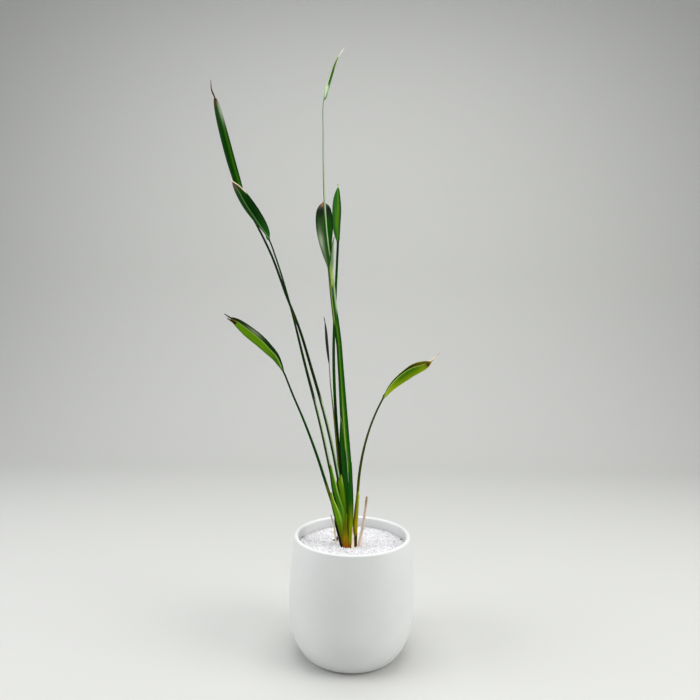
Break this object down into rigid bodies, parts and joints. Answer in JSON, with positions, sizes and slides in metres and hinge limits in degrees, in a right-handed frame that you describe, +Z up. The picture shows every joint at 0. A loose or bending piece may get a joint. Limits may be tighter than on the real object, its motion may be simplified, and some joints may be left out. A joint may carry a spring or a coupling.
{
  "type": "potted bird of paradise",
  "caption": "Narrow-leaved bird of paradise in a round white ceramic pot filled with soil and topped with fine white gravel; it stands on the pot's flat base.",
  "frame": {"origin": "centre of the pot's flat base, on the pot's axis, in the plane that the pot stands on", "axes": "+Z up along the pot's axis, +X to the right in the usual front view; the leaves fan out along X and the front faces -Y"},
  "size_m": [0.416, 0.22, 1.0293],
  "materials": {
    "white_ceramic": "matt, off-white",
    "potting_soil": null,
    "white_gravel": "fine white gravel, dull",
    "leaf_green": null,
    "leaf_dark_green": null,
    "leaf_bright_green": null,
    "leaf_yellow_green": null,
    "dry_sheath": "papery, straw-coloured dead stalk"
  },
  "bodies": {
    "root": {"pot": "white_ceramic", "potting_soil": "potting_soil", "gravel_top_dressing": "white_gravel", "leaf_tall_left": "leaf_green", "leaf_left": "leaf_green", "leaf_tallest": "leaf_green", "leaf_oval": "leaf_dark_green", "leaf_upright": "leaf_bright_green", "leaf_young": "leaf_dark_green", "leaf_low_left": "leaf_bright_green", "leaf_right": "leaf_yellow_green", "dry_stalk_stub": "dry_sheath", "dry_sheath_left": "dry_sheath", "dry_sheath_middle": "dry_sheath"}
  },
  "joints": []
}
